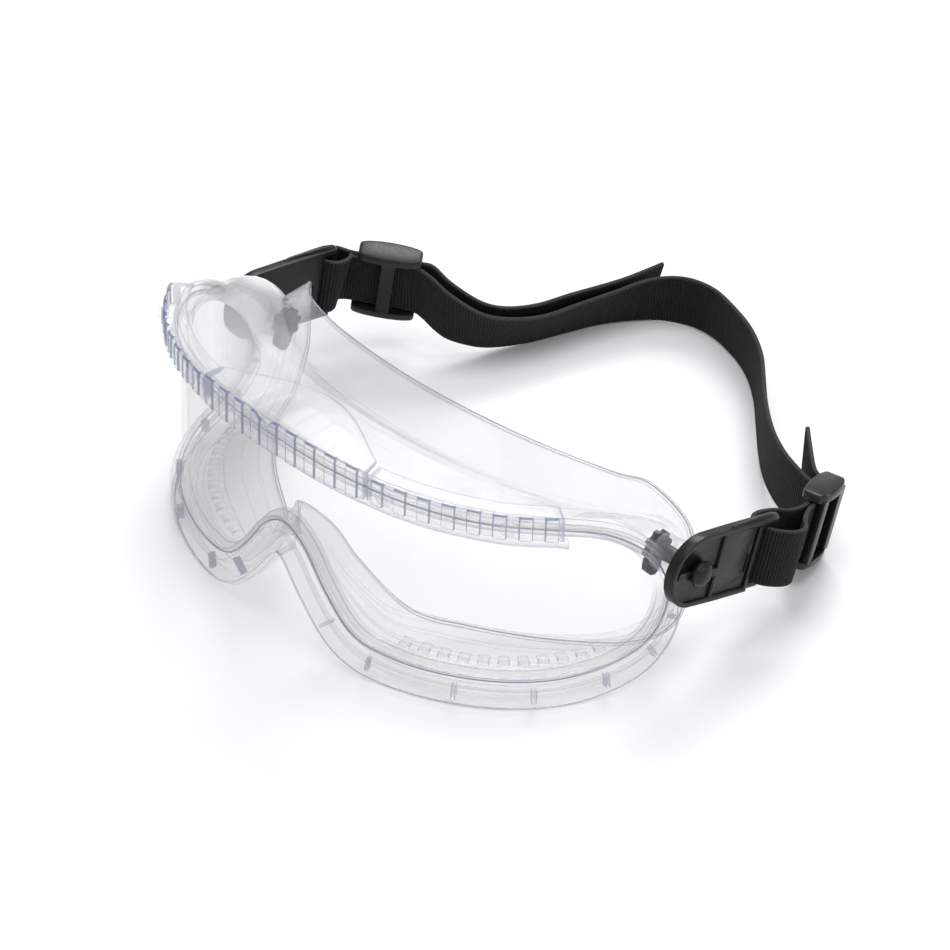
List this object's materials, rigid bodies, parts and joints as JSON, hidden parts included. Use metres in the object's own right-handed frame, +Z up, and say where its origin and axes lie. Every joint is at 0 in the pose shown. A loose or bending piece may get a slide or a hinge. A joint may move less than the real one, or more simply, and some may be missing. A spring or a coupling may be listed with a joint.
{
  "type": "safety goggles",
  "caption": "Clear wraparound safety goggles: soft vented frame, curved lens, swivelling strap clips, sliders and an elastic head strap, lying on a table.",
  "frame": {"origin": "middle of the object's outline in plan, on the surface it lies on", "axes": "+X to the goggles' right-hand end as seen from the front, +Y from the lens towards the head strap, +Z up"},
  "size_m": [0.2061, 0.2166, 0.0785],
  "materials": {
    "clear_soft": "clear soft PVC, glossy",
    "clear_lens": "clear polycarbonate, polished",
    "dark_plastic": "moulded, fine matt grain",
    "teal_plastic": "moulded, half gloss",
    "webbing": "ribbed elastic webbing"
  },
  "bodies": {
    "goggles": {"frame_body": "clear_soft", "lens": "clear_lens", "centre_vent_cover": "clear_soft", "vent_wing_left": "clear_soft", "vent_pin_left_inner": "clear_lens", "vent_pin_left_outer": "clear_lens", "lower_vent_left": "clear_soft", "pivot_stud_left": "dark_plastic", "stud_retainer_left": "teal_plastic", "strap_tail_left": "webbing", "vent_wing_right": "clear_soft", "vent_pin_right_inner": "clear_lens", "vent_pin_right_outer": "clear_lens", "lower_vent_right": "clear_soft", "pivot_stud_right": "dark_plastic", "stud_retainer_right": "teal_plastic", "strap_tail_right": "webbing", "head_strap": "webbing"},
    "clip_left_body": {"strap_clip_left": "dark_plastic", "strap_end_left": "webbing"},
    "clip_right_body": {"strap_clip_right": "dark_plastic", "strap_end_right": "webbing"},
    "slider_left_body": {"slider_left": "dark_plastic"},
    "slider_right_body": {"slider_right": "dark_plastic"}
  },
  "joints": [
    {"name": "clip_left", "type": "hinge", "parent": "goggles", "child": "clip_left_body", "pos_m": [-0.0905, -0.0272, 0.0355], "axis": [1, 0, 0], "range_deg": [-8, 45]},
    {"name": "clip_right", "type": "hinge", "parent": "goggles", "child": "clip_right_body", "pos_m": [0.0905, -0.0272, 0.0355], "axis": [1, 0, 0], "range_deg": [-8, 45]},
    {"name": "slider_left", "type": "slide", "parent": "clip_left_body", "child": "slider_left_body", "axis": [0.766, 0.633, -0.1116], "range_m": [-0.002, 0]},
    {"name": "slider_right", "type": "slide", "parent": "clip_right_body", "child": "slider_right_body", "axis": [-0.309, 0.9119, -0.2701], "range_m": [-0.002, 0]}
  ]
}
